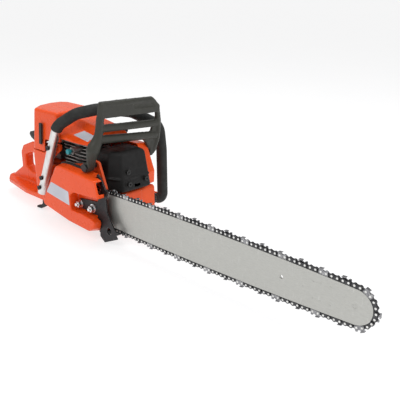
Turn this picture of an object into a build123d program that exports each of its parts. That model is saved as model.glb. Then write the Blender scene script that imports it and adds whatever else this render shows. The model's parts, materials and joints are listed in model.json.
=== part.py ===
from build123d import *

import os
from math import asin, atan2, cos, degrees, hypot, pi, radians, sin

# A petrol chainsaw with a 24 inch bar. +X points along the guide bar, +Y to the operator's left, +Z up.
# The origin lies on the resting plane, straight below the crankshaft axis, on the joint between the
# two crankcase halves. All sizes are in millimetres.

# ---------------------------------------------------------------- driving dimensions
CRANK_Z = 70.0  # crankshaft, drive sprocket and bar centre line above the resting plane
BORE_R, STROKE, ROD_LENGTH = 25.0, 36.0, 70.0
CASE_HALF = 36.0  # crankcase half width
SPLIT_Y = -3.0  # the joint between the crankcase halves
DECK_Z = 108.0  # cylinder seat on the crankcase
CHAMBER_R = 38.5

RIVET_PITCH = 9.525  # 3/8 inch chain
DRIVE_LINKS = 84
SPROCKET_TEETH, NOSE_TEETH = 7, 11
BAR_Y, BAR_T = -58.0, 4.6
BAR_TAIL_HALF, BAR_MID_HALF, NOSE_R = 33.0, 37.4, 29.6
RAIL_TO_RIVET = 4.3  # rivet centre above the bar's rail
TAIL_X, NOSE_X = 52.0, 706.0
STUD_X, STUD_SPACING, STUD_R = 66.0, 43.0, 4.0

COVER_Y = -95.0  # outer face of the clutch cover
STARTER_Y = 90.0  # outer face of the starter cover
WALL = 2.5

TUBE_R, GRIP_R = 10.0, 12.5
GUARD_PIVOT = (94.0, 157.0)  # x and z of the hand guard's hinge axis
TRIGGER_PIVOT = (-172.0, 126.0)
LOCK_PIVOT = (-164.0, 146.0)
HANDLE_Y = -10.0  # mid plane of the rear handle
TENSION_HOLE = (84.0, CRANK_Z - 16.0)
RUN_GAP = 0.05  # radial clearance of a running fit

os.makedirs("parts", exist_ok=True)


# ---------------------------------------------------------------- shared outlines
def outline_sketch(plane, points, radius, inset=0.0):
    """A closed outline of points on a plane, its corners rounded by radius, then drawn in by inset."""
    with BuildSketch(plane) as sketch:
        with BuildLine():
            Polyline(*points, close=True)
        make_face()
        if radius:
            fillet(sketch.vertices(), radius)
        if inset:
            offset(amount=-inset, mode=Mode.REPLACE)
    return sketch.sketch


def side_sketch(points, y, radius=0.0, inset=0.0):
    """A closed outline of (x, z) points on the plane at y."""
    return outline_sketch(Plane.XZ.offset(-y), points, radius, inset)


def top_sketch(points, z, radius=0.0, inset=0.0):
    """A closed outline of (x, y) points on the plane at z."""
    return outline_sketch(Plane.XY.offset(z), points, radius, inset)


def across(x, z, y_from, y_to):
    """Where a cylinder lying along Y between two y values has its middle."""
    return Locations((x, (y_from + y_to) / 2, z))


def tube_path(points, radius):
    """A path through points with rounded bends."""
    with BuildLine() as path:
        FilletPolyline(*points, radius=radius)
    return path.line


ALONG_Y = (90, 0, 0)
ALONG_X = (0, 90, 0)

CASE_OUTLINE = [(-58, 0), (112, 0), (137, 22), (137, 92), (62, 96), (56, DECK_Z), (-50, DECK_Z), (-58, 90)]

# ---------------------------------------------------------------- crankcase
MAIN_BEARING_R, MAIN_BEARING_T = 20.0, 12.0
BEARING_Y = 22.0  # inner face of each main bearing
OIL_TANK = [(70, 12), (106, 12), (126, 28), (126, 80), (70, 84)]
SHELF = [(-20, 86), (128, 84), (128, 92), (-20, 94)]
SIDE_WALL = [(-22, 86), (-8, 138), (62, 152), (82, 166), (104, 164), (124, 112), (130, 86)]
BAR_PAD = [(48, 46), (134, 46), (134, 88), (48, 88)]

with BuildPart() as crankcase_right:
    extrude(side_sketch(CASE_OUTLINE, SPLIT_Y, 7), amount=CASE_HALF + SPLIT_Y)
    extrude(side_sketch(BAR_PAD, -CASE_HALF, 8), amount=-BAR_Y - BAR_T / 2 - RUN_GAP - CASE_HALF)
    # A side wall beside the muffler stands on a shelf above the bar pad and carries the hand guard's pivot.
    extrude(side_sketch(SHELF, -CASE_HALF, 3), amount=16.5)
    extrude(side_sketch(SIDE_WALL, -47, 6), amount=5.5)
    with across(*GUARD_PIVOT, -60, -40):
        Cylinder(5, 20, rotation=ALONG_Y, mode=Mode.SUBTRACT)
    with across(0, CRANK_Z, -BEARING_Y, 0):
        Cylinder(CHAMBER_R, BEARING_Y, rotation=ALONG_Y, mode=Mode.SUBTRACT)
    with across(0, CRANK_Z, -BEARING_Y - MAIN_BEARING_T, -BEARING_Y):
        Cylinder(MAIN_BEARING_R, MAIN_BEARING_T, rotation=ALONG_Y, mode=Mode.SUBTRACT)
    with across(0, CRANK_Z, -CASE_HALF, 0):
        Cylinder(12, CASE_HALF, rotation=ALONG_Y, mode=Mode.SUBTRACT)
    with Locations((0, 0, DECK_Z - 18)):
        Cylinder(BORE_R + 2.2, 36, mode=Mode.SUBTRACT)
    extrude(side_sketch(OIL_TANK, 0, 6), amount=30, mode=Mode.SUBTRACT)
    with Locations(*[(STUD_X + i * STUD_SPACING, -50, CRANK_Z) for i in (0, 1)]):
        Cylinder(STUD_R, 40, rotation=ALONG_Y, mode=Mode.SUBTRACT)
    # The slot of the chain tensioner and the bore of its screw.
    with Locations((82, -50, TENSION_HOLE[1])):
        Box(28, 14, 12, mode=Mode.SUBTRACT)
    with Locations((105, -50, TENSION_HOLE[1])):
        Cylinder(2.55, 80, rotation=ALONG_X, mode=Mode.SUBTRACT)
crankcase_right.part.label = "crankcase_right"

TANK_BLOCK = [(96, 12), (116, 12), (135, 26), (135, 90), (96, 90)]

with BuildPart() as crankcase_left:
    extrude(side_sketch(CASE_OUTLINE, SPLIT_Y, 7), amount=SPLIT_Y - CASE_HALF)
    extrude(side_sketch(TANK_BLOCK, CASE_HALF, 6), amount=-40)
    with across(0, CRANK_Z, SPLIT_Y, BEARING_Y):
        Cylinder(CHAMBER_R, BEARING_Y - SPLIT_Y, rotation=ALONG_Y, mode=Mode.SUBTRACT)
    with across(0, CRANK_Z, BEARING_Y, BEARING_Y + MAIN_BEARING_T):
        Cylinder(MAIN_BEARING_R, MAIN_BEARING_T, rotation=ALONG_Y, mode=Mode.SUBTRACT)
    with across(0, CRANK_Z, 0, CASE_HALF):
        Cylinder(12, CASE_HALF, rotation=ALONG_Y, mode=Mode.SUBTRACT)
    with Locations((0, 0, DECK_Z - 18)):
        Cylinder(BORE_R + 2.2, 36, mode=Mode.SUBTRACT)
    extrude(side_sketch(OIL_TANK, SPLIT_Y, 6), amount=-33, mode=Mode.SUBTRACT)
    with across(115, 52, 60, 76):
        Cylinder(12, 16, rotation=ALONG_Y, mode=Mode.SUBTRACT)
crankcase_left.part.label = "crankcase_left"

# ---------------------------------------------------------------- crank train
JOURNAL_R, PIN_R, WEB_R = 8.5, 8.0, 34.0
WEB_IN, WEB_OUT = 7.0, 19.0
CLUTCH_JOURNAL_R, HUB_JOURNAL_R = 7.5, 6.0
THROW = STROKE / 2

with BuildPart() as crankshaft:
    for side in (-1, 1):
        with across(0, CRANK_Z, side * WEB_IN, side * WEB_OUT):
            Cylinder(WEB_R, WEB_OUT - WEB_IN, rotation=ALONG_Y)
        # The crankpin is cut back to a stub on each web, so that the rod's big end hangs free between them.
        with across(0, CRANK_Z + THROW, side * (WEB_IN - 1.5), side * WEB_IN):
            Cylinder(PIN_R, 1.5, rotation=ALONG_Y)
        with across(0, CRANK_Z, side * WEB_OUT, side * 40):
            Cylinder(JOURNAL_R, 40 - WEB_OUT, rotation=ALONG_Y)
    with across(0, CRANK_Z, -66, -40):
        Cylinder(CLUTCH_JOURNAL_R, 26, rotation=ALONG_Y)
    with across(0, CRANK_Z, -86, -66):
        Cylinder(HUB_JOURNAL_R, 20, rotation=ALONG_Y)
    with across(0, CRANK_Z, 40, 70):
        Cylinder(7, 30, rotation=ALONG_Y)
crankshaft.part.label = "crankshaft"

with BuildPart() as main_bearings:
    for side in (-1, 1):
        with across(0, CRANK_Z, side * BEARING_Y, side * (BEARING_Y + MAIN_BEARING_T)):
            Cylinder(MAIN_BEARING_R, MAIN_BEARING_T, rotation=ALONG_Y)
            Cylinder(JOURNAL_R + RUN_GAP, MAIN_BEARING_T, rotation=ALONG_Y, mode=Mode.SUBTRACT)
main_bearings.part.label = "main_bearings"

WRIST_Z = CRANK_Z + THROW + ROD_LENGTH
PISTON_TOP, PISTON_BOTTOM = WRIST_Z + 14, WRIST_Z - 14
WRIST_R = 5.5

with BuildPart() as piston:
    with Locations((0, 0, (PISTON_TOP + PISTON_BOTTOM) / 2)):
        Cylinder(BORE_R - 0.08, PISTON_TOP - PISTON_BOTTOM)
    with Locations((0, 0, PISTON_BOTTOM)):
        Cylinder(BORE_R - 4, 2 * (PISTON_TOP - PISTON_BOTTOM - 5), mode=Mode.SUBTRACT)
    for side in (-1, 1):
        with across(0, WRIST_Z, side * 7, side * (BORE_R - 3)):
            Cylinder(8.8, BORE_R - 10, rotation=ALONG_Y)
    with BuildSketch(Plane.XY.offset(PISTON_TOP - 4), Plane.XY.offset(PISTON_TOP - 8)):
        Circle(BORE_R + 1)
        Circle(BORE_R - 0.5, mode=Mode.SUBTRACT)
    extrude(amount=1.5, mode=Mode.SUBTRACT)
    with Locations((0, 0, WRIST_Z)):
        Cylinder(WRIST_R, 2 * (BORE_R - 4), rotation=ALONG_Y)
        Cylinder(3, 2 * BORE_R, rotation=ALONG_Y, mode=Mode.SUBTRACT)
piston.part.label = "piston"

with BuildPart() as connecting_rod:
    with BuildSketch(Plane.XZ.offset(-5)):
        with Locations((0, CRANK_Z + THROW)):
            Circle(12)
        with Locations((0, WRIST_Z)):
            Circle(8.4)
        with Locations((0, CRANK_Z + THROW + ROD_LENGTH / 2)):
            Rectangle(9, ROD_LENGTH)
    extrude(amount=10)
    with Locations((0, 0, CRANK_Z + THROW)):
        Cylinder(PIN_R + RUN_GAP, 12, rotation=ALONG_Y, mode=Mode.SUBTRACT)
    with Locations((0, 0, WRIST_Z)):
        Cylinder(WRIST_R + RUN_GAP, 12, rotation=ALONG_Y, mode=Mode.SUBTRACT)
connecting_rod.part.label = "connecting_rod"

# ---------------------------------------------------------------- cylinder and ignition
HEAD_Z = 178.0
FIN_COUNT, FIN_STEP, FIN_T = 9, 8.0, 2.2
PORT_Z = 148.0

DECOMPRESSION = (19.0, 173.0)  # x and z of the decompression valve

with BuildPart() as cylinder:
    with BuildSketch(Plane.XY.offset(DECK_Z)):
        RectangleRounded(76, 68, 10)
    extrude(amount=5)
    with Locations((0, 0, (DECK_Z + HEAD_Z + 6) / 2)):
        Cylinder(BORE_R + 5, HEAD_Z + 6 - DECK_Z)
    with Locations((0, 0, DECK_Z - 1.5)):
        Cylinder(BORE_R + 2, 3)
    with BuildSketch(*[Plane.XY.offset(DECK_Z + 10 + i * FIN_STEP) for i in range(FIN_COUNT)]):
        RectangleRounded(92, 72, 14)
    extrude(amount=FIN_T)
    with Locations((44, 0, PORT_Z)):
        Box(34, 44, 30)
    with Locations((-40, 0, PORT_Z)):
        Box(28, 40, 28)
    with Locations((0, 0, (DECK_Z - 3 + HEAD_Z) / 2)):
        Cylinder(BORE_R, HEAD_Z - DECK_Z + 3, mode=Mode.SUBTRACT)
    with Locations((0, 0, PORT_Z)):
        with Locations((43, 0, 0)):
            Cylinder(11, 40, rotation=ALONG_X, mode=Mode.SUBTRACT)
        with Locations((-41, 0, 0)):
            Cylinder(11, 36, rotation=ALONG_X, mode=Mode.SUBTRACT)
    with Locations((0, 0, HEAD_Z + 10)):
        Cylinder(7, 30, mode=Mode.SUBTRACT)
    # The decompression valve's body is screwed into a boss of the head.
    with across(*DECOMPRESSION, -53, -29):
        Cylinder(7, 24, rotation=ALONG_Y)
    with BuildSketch(Plane.XZ.offset(53)):
        with Locations(DECOMPRESSION):
            RegularPolygon(8.5, 6)
    extrude(amount=4)
    with across(*DECOMPRESSION, -58, -44):
        Cylinder(5, 14, rotation=ALONG_Y)
        Cylinder(2.2, 14, rotation=ALONG_Y, mode=Mode.SUBTRACT)
cylinder.part.label = "cylinder"

with BuildPart() as spark_plug:
    with Locations((0, 0, HEAD_Z + 12)):
        Cylinder(7, 22)
    with Locations((0, 0, HEAD_Z + 26)):
        Cylinder(9.5, 6)
    with Locations((0, 0, HEAD_Z + 36)):
        Cylinder(5, 14)
spark_plug.part.label = "spark_plug"

with BuildPart() as plug_cap:
    with Locations((0, 0, HEAD_Z + 41)):
        Cylinder(9, 16)
    with Locations((0, 12, HEAD_Z + 42)):
        Box(12, 18, 9)
    with Locations((0, 0, HEAD_Z + 36)):
        Cylinder(5, 14, mode=Mode.SUBTRACT)
    fillet(plug_cap.edges().group_by(Axis.Z)[-1], 1.5)
    with BuildLine() as lead_path:
        FilletPolyline((0, 20.5, HEAD_Z + 42), (0, 34, HEAD_Z + 42), (14, 50, 176), (14, 50, 136), radius=8)
    with BuildSketch(Plane(origin=lead_path.line @ 0, z_dir=lead_path.line % 0)):
        Circle(3.2)
    sweep(path=lead_path.line)
plug_cap.part.label = "plug_cap"

with BuildPart() as ignition_coil:
    with Locations((14, 50, 130.5)):
        Box(34, 18, 11)
    with Locations((2, 50, 122.5), (26, 50, 122.5)):
        Box(7, 12, 5)
ignition_coil.part.label = "ignition_coil"

with BuildPart() as decompression_button:
    with across(*DECOMPRESSION, -61.5, -48):
        Cylinder(2.15, 13.5, rotation=ALONG_Y)
    with across(*DECOMPRESSION, -69, -61.5):
        Cylinder(6, 7.5, rotation=ALONG_Y)
    fillet(decompression_button.edges().group_by(Axis.Y)[0], 1.5)
decompression_button.part.label = "decompression_button"

# ---------------------------------------------------------------- muffler
MUFFLER_OUTLINE = [(64, -44.5), (118, -44.5), (148, -24), (153, 56), (64, 56)]
MUFFLER_Z, MUFFLER_TOP = 99.0, 185.0
MUFFLER_DRAFT = 8.0  # degrees that its walls lean inwards
MUFFLER_BOLTS = [(146.6, -9, 142), (150.2, -9, 116), (152.6, 36, 119)]

with BuildPart() as muffler:
    extrude(top_sketch(MUFFLER_OUTLINE, MUFFLER_Z, 13), amount=MUFFLER_TOP - MUFFLER_Z, taper=MUFFLER_DRAFT)
    fillet(muffler.edges().group_by(Axis.Z)[-1], 12)
    fillet(muffler.edges().group_by(Axis.Z)[0], 5)
    muffler_void = offset(muffler.part, amount=-1.5, mode=Mode.PRIVATE)
    add(muffler_void, mode=Mode.SUBTRACT)
    with Locations((64, 0, PORT_Z)):
        Cylinder(11, 30, rotation=ALONG_X, mode=Mode.SUBTRACT)
    # The outlet in its lower front.
    with Locations((150, 14, 109)):
        Box(12, 14, 5, mode=Mode.SUBTRACT)
muffler.part.label = "muffler"

# ---------------------------------------------------------------- chain path
# The chain's pitch line runs through the rivets: round the drive sprocket, up to the bar's tail, along the
# bowed rail and round the nose. It is symmetric about the bar's centre line.
SPROCKET_PITCH_R = RIVET_PITCH / (2 * sin(pi / (2 * SPROCKET_TEETH)))
RAIL_MID_X = (TAIL_X + NOSE_X) / 2


def bow_end(half_tail, half_mid, nose_r):
    """Where a bowed edge through the tail and middle heights meets the nose circle."""
    slope = 4 * (half_mid - (half_tail + nose_r) / 2) / (NOSE_X - TAIL_X)
    lean = slope + (half_tail - nose_r) / (NOSE_X - TAIL_X)
    return NOSE_X + nose_r * sin(lean), nose_r * cos(lean)


def rail_line(rise):
    """The bowed upper edge, the nose and the lower edge of the bar's outline, all raised by rise."""
    half_tail, half_mid, nose_r = BAR_TAIL_HALF + rise, BAR_MID_HALF + rise, NOSE_R + rise
    end_x, end_z = bow_end(half_tail, half_mid, nose_r)
    ThreePointArc((TAIL_X, CRANK_Z + half_tail), (RAIL_MID_X, CRANK_Z + half_mid), (end_x, CRANK_Z + end_z))
    ThreePointArc((end_x, CRANK_Z + end_z), (NOSE_X + nose_r, CRANK_Z), (end_x, CRANK_Z - end_z))
    ThreePointArc((end_x, CRANK_Z - end_z), (RAIL_MID_X, CRANK_Z - half_mid), (TAIL_X, CRANK_Z - half_tail))


tail_half = BAR_TAIL_HALF + RAIL_TO_RIVET
reach = hypot(TAIL_X, tail_half)
climb = atan2(tail_half, TAIL_X) - asin(SPROCKET_PITCH_R / reach)
leave_x, leave_z = -SPROCKET_PITCH_R * sin(climb), SPROCKET_PITCH_R * cos(climb)

with BuildLine(Plane.XZ.offset(-BAR_Y)) as pitch_line:
    Line((leave_x, CRANK_Z + leave_z), (TAIL_X, CRANK_Z + tail_half))
    rail_line(RAIL_TO_RIVET)
    Line((TAIL_X, CRANK_Z - tail_half), (leave_x, CRANK_Z - leave_z))
    ThreePointArc(
        (leave_x, CRANK_Z - leave_z),
        (-SPROCKET_PITCH_R, CRANK_Z),
        (leave_x, CRANK_Z + leave_z),
    )
pitch_path = pitch_line.wire()


def chain_place(position):
    """The frame at a distance along the pitch line: x along the chain's travel, y away from the bar."""
    part_way = position / pitch_path.length
    return pitch_path @ part_way


rivet_spots = [chain_place(i * pitch_path.length / (2 * DRIVE_LINKS)) for i in range(2 * DRIVE_LINKS)]


def link_frames(first, step):
    """The frames midway between neighbouring rivets, for every step-th link from the first."""
    frames = []
    for i in range(first, 2 * DRIVE_LINKS, step):
        start, end = rivet_spots[i], rivet_spots[(i + 1) % (2 * DRIVE_LINKS)]
        frames.append(Plane(origin=(start + end) / 2, x_dir=end - start, z_dir=(0, -1, 0)))
    return frames


def copies(link, frames, label):
    """One labelled part holding a copy of the link at every frame."""
    return Compound(label=label, children=[frame.location * link.part.solid() for frame in frames])


# ---------------------------------------------------------------- chain
HALF_PITCH = RIVET_PITCH / 2
STRAP_IN, STRAP_T = 0.85, 1.5
RIVET_R, RIVET_HOLE_R = 1.9, 2.05
TANG_DEPTH = 7.8

with BuildPart() as drive_link:
    with BuildSketch(Plane.XY.offset(-0.72)):
        with Locations((-HALF_PITCH, 0), (HALF_PITCH, 0)):
            Circle(3.5)
        Rectangle(RIVET_PITCH, 5)
        with BuildLine():
            Polyline((-5.5, -1), (5.5, -1), (3.4, -5), (-0.5, -TANG_DEPTH), (-2.6, -TANG_DEPTH), (-3.6, -4), close=True)
        make_face()
    extrude(amount=1.44)
    with Locations((-HALF_PITCH, 0, 0), (HALF_PITCH, 0, 0)):
        Hole(RIVET_HOLE_R)

with BuildPart() as tie_straps:
    for near in (STRAP_IN, -STRAP_IN - STRAP_T):
        with BuildSketch(Plane.XY.offset(near)):
            with Locations((-HALF_PITCH, 0), (HALF_PITCH, 0)):
                Circle(3.6)
            Rectangle(RIVET_PITCH, 4.6)
            with Locations((0, -2)):
                Rectangle(RIVET_PITCH + 5, 3.2)
        extrude(amount=STRAP_T)
    with Locations((-HALF_PITCH, 0, 0), (HALF_PITCH, 0, 0)):
        Hole(RIVET_HOLE_R)

CUTTER_SIDE = [(-8, 2), (-8, 6.2), (-0.6, 7.3), (-1.4, 4), (2.2, 2.6), (3.8, 5.6), (7, 6.2), (7.8, 4.6), (7.8, 2)]


def cutter_part(side):
    """A cutter on one side of the chain, with its gullet, depth gauge and overhanging top plate."""
    near = STRAP_IN if side > 0 else -STRAP_IN - STRAP_T
    with BuildPart() as cutter:
        with BuildSketch(Plane.XY.offset(near)):
            with Locations((-HALF_PITCH, 0), (HALF_PITCH, 0)):
                Circle(3.6)
            Rectangle(RIVET_PITCH, 5)
            with BuildLine():
                Polyline(*CUTTER_SIDE, (8, -3.6), (-8, -3.6), close=True)
            make_face()
        extrude(amount=STRAP_T)
        with BuildSketch(Plane.XY.offset(-1.9 if side > 0 else -3.6)):
            with BuildLine():
                Polyline((-8, 5.2), (-8, 6.2), (-0.6, 7.3), (-0.8, 6.3), close=True)
            make_face()
        extrude(amount=5.5)
        with Locations((-HALF_PITCH, 0, 0), (HALF_PITCH, 0, 0)):
            Hole(RIVET_HOLE_R)
    return cutter


left_cutter = cutter_part(-1)
right_cutter = cutter_part(1)

with BuildPart() as plain_strap:
    with BuildSketch(Plane.XY.offset(STRAP_IN)):
        with Locations((-HALF_PITCH, 0), (HALF_PITCH, 0)):
            Circle(3.6)
        Rectangle(RIVET_PITCH, 4.6)
        with Locations((0, -2)):
            Rectangle(RIVET_PITCH + 5, 3.2)
    extrude(amount=STRAP_T)
    with Locations((-HALF_PITCH, 0, 0), (HALF_PITCH, 0, 0)):
        Hole(RIVET_HOLE_R)

with BuildPart() as rivet:
    Cylinder(RIVET_R, 2 * (STRAP_IN + STRAP_T) + 0.1)

# Links alternate: a drive link, then a pair of straps. Every fourth pair of straps carries a left cutter and
# the pair halfway between carries a right one; the far strap of a cutter pair is plain.
drive_frames = link_frames(0, 2)
left_frames = link_frames(1, 8)
right_frames = link_frames(5, 8)
tie_frames = link_frames(3, 4)

chain_drive_links = copies(drive_link, drive_frames, "chain_drive_links")
cutter_solids = [frame.location * left_cutter.part.solid() for frame in left_frames]
cutter_solids.extend(frame.location * right_cutter.part.solid() for frame in right_frames)
chain_cutters = Compound(label="chain_cutters", children=cutter_solids)
strap_solids = []
for frame in tie_frames:
    strap_solids.extend(frame.location * strap for strap in tie_straps.part.solids())
strap_solids.extend(frame.location * plain_strap.part.solid() for frame in left_frames)
mirrored_strap = plain_strap.part.solid().mirror(Plane.XY)
strap_solids.extend(frame.location * mirrored_strap for frame in right_frames)
chain_tie_straps = Compound(label="chain_tie_straps", children=strap_solids)
rivet_frames = [Plane(origin=spot, x_dir=(1, 0, 0), z_dir=(0, -1, 0)) for spot in rivet_spots]
chain_rivets = copies(rivet, rivet_frames, "chain_rivets")

# ---------------------------------------------------------------- guide bar
GROOVE = 0.85  # half width of the groove that guides the drive links
GROOVE_DEPTH = 11.0
NOSE_SPROCKET_R = 25.4
NOSE_HUB_R = 6.0
BAR_RIVETS = [(616, 1.2), (633.5, 16), (647, 16.8), (664, 17), (634.5, -13.4), (648, -14.2), (666, -14)]
BAR_RIVETS += [(NOSE_X + 3.4 * cos(a * 2 * pi / 5), 3.4 * sin(a * 2 * pi / 5)) for a in range(5)]

with BuildPart() as guide_bar:
    with BuildSketch(Plane.XZ.offset(-BAR_Y - BAR_T / 2)):
        with BuildLine():
            rail_line(0)
            tail = [(TAIL_X, CRANK_Z - BAR_TAIL_HALF), (36, CRANK_Z - 21), (30, CRANK_Z - 12)]
            tail += [(30, CRANK_Z + 12), (36, CRANK_Z + 21), (TAIL_X, CRANK_Z + BAR_TAIL_HALF)]
            Polyline(*tail)
        make_face()
        # The tail's shoulders fall away, so that the bar can be drawn back without meeting the chain.
        for side in (-1, 1):
            with BuildLine():
                Polyline(
                    (30, CRANK_Z + side * 16),
                    (TAIL_X + 10, CRANK_Z + side * (BAR_TAIL_HALF + 1)),
                    (30, CRANK_Z + side * (BAR_TAIL_HALF + 1)),
                    close=True,
                )
            make_face(mode=Mode.SUBTRACT)
        with Locations((STUD_X + STUD_SPACING / 2 - 3, CRANK_Z)):
            SlotCenterToCenter(STUD_SPACING + 22, 2 * STUD_R + 0.2, mode=Mode.SUBTRACT)
        with Locations(TENSION_HOLE, (TENSION_HOLE[0], 2 * CRANK_Z - TENSION_HOLE[1])):
            Circle(3.05, mode=Mode.SUBTRACT)
        with Locations((575, CRANK_Z + 2)):
            Circle(3.4, mode=Mode.SUBTRACT)
        with Locations(*[(x, CRANK_Z + z) for x, z in BAR_RIVETS]):
            Circle(1.25, mode=Mode.SUBTRACT)
    extrude(amount=BAR_T)
    with BuildSketch(Plane.XZ.offset(-BAR_Y - GROOVE)):
        with BuildLine():
            rail_line(2)
            Line((TAIL_X, CRANK_Z - BAR_TAIL_HALF - 2), (TAIL_X, CRANK_Z + BAR_TAIL_HALF + 2))
        make_face()
        with Locations((TAIL_X - 15, CRANK_Z)):
            Rectangle(30, 90)
        with BuildLine():
            rail_line(-GROOVE_DEPTH)
            Line(
                (TAIL_X, CRANK_Z - BAR_TAIL_HALF + GROOVE_DEPTH),
                (TAIL_X, CRANK_Z + BAR_TAIL_HALF - GROOVE_DEPTH),
            )
        make_face(mode=Mode.SUBTRACT)
        with Locations((TAIL_X - 9, CRANK_Z)):
            Rectangle(20, 24, mode=Mode.SUBTRACT)
        with Locations((NOSE_X, CRANK_Z)):
            Circle(NOSE_SPROCKET_R + 1.5)
            Circle(NOSE_HUB_R, mode=Mode.SUBTRACT)
    extrude(amount=2 * GROOVE, mode=Mode.SUBTRACT)
guide_bar.part.label = "guide_bar"

with BuildPart() as bar_rivets:
    with Locations(*[(x, BAR_Y, CRANK_Z + z) for x, z in BAR_RIVETS]):
        Cylinder(1.25, BAR_T + 0.4, rotation=ALONG_Y)
bar_rivets.part.label = "bar_rivets"

with BuildPart() as nose_sprocket:
    with BuildSketch(Plane.XZ.offset(-BAR_Y - 0.65)):
        with Locations((NOSE_X, CRANK_Z)):
            Circle(NOSE_SPROCKET_R)
            Circle(NOSE_HUB_R + RUN_GAP, mode=Mode.SUBTRACT)
            with PolarLocations(NOSE_SPROCKET_R + 1, NOSE_TEETH):
                Circle(4.6, mode=Mode.SUBTRACT)
    extrude(amount=1.3)
nose_sprocket.part.label = "nose_sprocket"

# ---------------------------------------------------------------- clutch
DRUM_R, DRUM_IN_R = 32.0, 29.5
NEEDLE_R = 10.0

with BuildPart() as clutch_drum:
    with across(0, CRANK_Z, -84, -63.5):
        Cylinder(DRUM_R, 20.5, rotation=ALONG_Y)
    with across(0, CRANK_Z, -84, -66):
        Cylinder(DRUM_IN_R, 18, rotation=ALONG_Y, mode=Mode.SUBTRACT)
    with across(0, CRANK_Z, -63.5, -52.5):
        Cylinder(13, 11, rotation=ALONG_Y)
    # The rim sprocket: two rims that carry the straps, with pockets for the drive links between them.
    for rim_from in (-63.5, -56.8):
        with across(0, CRANK_Z, rim_from, rim_from + 4.3):
            Cylinder(17.2, 4.3, rotation=ALONG_Y)
    with Locations((0, -64, CRANK_Z)):
        Cylinder(NEEDLE_R + RUN_GAP, 40, rotation=ALONG_Y, mode=Mode.SUBTRACT)
    with BuildSketch(Plane.XZ.offset(63)):
        with Locations((0, CRANK_Z)):
            with PolarLocations(21, 6):
                Circle(4)
    extrude(amount=6, mode=Mode.SUBTRACT)
clutch_drum.part.label = "clutch_drum"

with BuildPart() as clutch_bearing:
    with across(0, CRANK_Z, -65, -54):
        Cylinder(NEEDLE_R, 11, rotation=ALONG_Y)
        Cylinder(CLUTCH_JOURNAL_R + RUN_GAP, 11, rotation=ALONG_Y, mode=Mode.SUBTRACT)
clutch_bearing.part.label = "clutch_bearing"

with BuildPart() as clutch:
    with BuildSketch(Plane.XZ.offset(68)):
        with Locations((0, CRANK_Z)):
            Circle(13)
            with PolarLocations(17, 3):
                Rectangle(18, 9)
            Circle(HUB_JOURNAL_R, mode=Mode.SUBTRACT)
    extrude(amount=13)
    with BuildSketch(Plane.XZ.offset(69)):
        with Locations((0, CRANK_Z)):
            Circle(DRUM_IN_R - 0.7)
            Circle(14.5, mode=Mode.SUBTRACT)
            with PolarLocations(17, 3):
                Rectangle(30, 9.6, mode=Mode.SUBTRACT)
    extrude(amount=11)
clutch.part.label = "clutch"

with BuildPart() as oil_pump:
    with BuildSketch(Plane.XZ.offset(CASE_HALF)):
        with Locations((0, CRANK_Z)):
            Circle(14)
        with Locations((14, CRANK_Z - 20)):
            RectangleRounded(30, 18, 4)
        with Locations((0, CRANK_Z)):
            Circle(9.2, mode=Mode.SUBTRACT)
    extrude(amount=9)
    with across(20, CRANK_Z - 20, -52, -45):
        Cylinder(3, 7, rotation=ALONG_Y)
oil_pump.part.label = "oil_pump"

with BuildPart() as bar_studs:
    with Locations(*[(STUD_X + i * STUD_SPACING, -60, CRANK_Z) for i in (0, 1)]):
        Cylinder(STUD_R, 60, rotation=ALONG_Y)
    chamfer(bar_studs.edges().group_by(Axis.Y)[0], 0.8)
bar_studs.part.label = "bar_studs"

SPIKE_IN, SPIKE_OUT = -73.0, -76.0

with BuildPart() as bar_nuts:
    for i in (0, 1):
        with across(STUD_X + i * STUD_SPACING, CRANK_Z, -78, SPIKE_OUT):
            Cylinder(9.5, 2, rotation=ALONG_Y)
        with BuildSketch(Plane.XZ.offset(78)):
            with Locations((STUD_X + i * STUD_SPACING, CRANK_Z)):
                RegularPolygon(7.5, 6)
        extrude(amount=8)
    chamfer(bar_nuts.edges().group_by(Axis.Y)[0], 0.7)
    with Locations(*[(STUD_X + i * STUD_SPACING, -80, CRANK_Z) for i in (0, 1)]):
        Cylinder(STUD_R, 40, rotation=ALONG_Y, mode=Mode.SUBTRACT)
bar_nuts.part.label = "bar_nuts"

# The chain tensioner sits in a slot of the bar pad: a screw along X drives a block whose pin holds the bar.
with BuildPart() as chain_tensioner:
    with Locations((TENSION_HOLE[0], -49.5, TENSION_HOLE[1])):
        Box(10, 11, 10)
    with across(*TENSION_HOLE, -60, -55):
        Cylinder(3, 5, rotation=ALONG_Y)
    with Locations((TENSION_HOLE[0], -50, TENSION_HOLE[1])):
        Cylinder(2.55, 10, rotation=ALONG_X, mode=Mode.SUBTRACT)
    with Locations((102, -50, TENSION_HOLE[1])):
        Cylinder(2.5, 64, rotation=ALONG_X)
    with Locations((135.5, -50, TENSION_HOLE[1])):
        Cylinder(3.6, 3, rotation=ALONG_X)
        with Locations((1.5, 0, 0)):
            Box(1.6, 1.2, 8, mode=Mode.SUBTRACT)
chain_tensioner.part.label = "chain_tensioner"

# ---------------------------------------------------------------- clutch cover
COVER_FACE = [(-56, 45), (42, 28), (112, 24), (130, 34), (136, 57), (149, 64), (150, 112), (141, 141), (30, 148), (9, 145)]
COVER_BASE = [(-64, 40), (42, 20), (115, 16), (136, 28), (141, 55), (153, 62), (153, 114), (146, 143), (26, 148), (-5, 146)]
COVER_BACK = -60.6
RECESS = [(54, 57), (96, 57), (124, 54), (165, 32), (165, 106), (66, 99), (54, 90)]
COVER_PAD = [(50, 58), (150, 58), (150, 88), (50, 88)]

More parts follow.
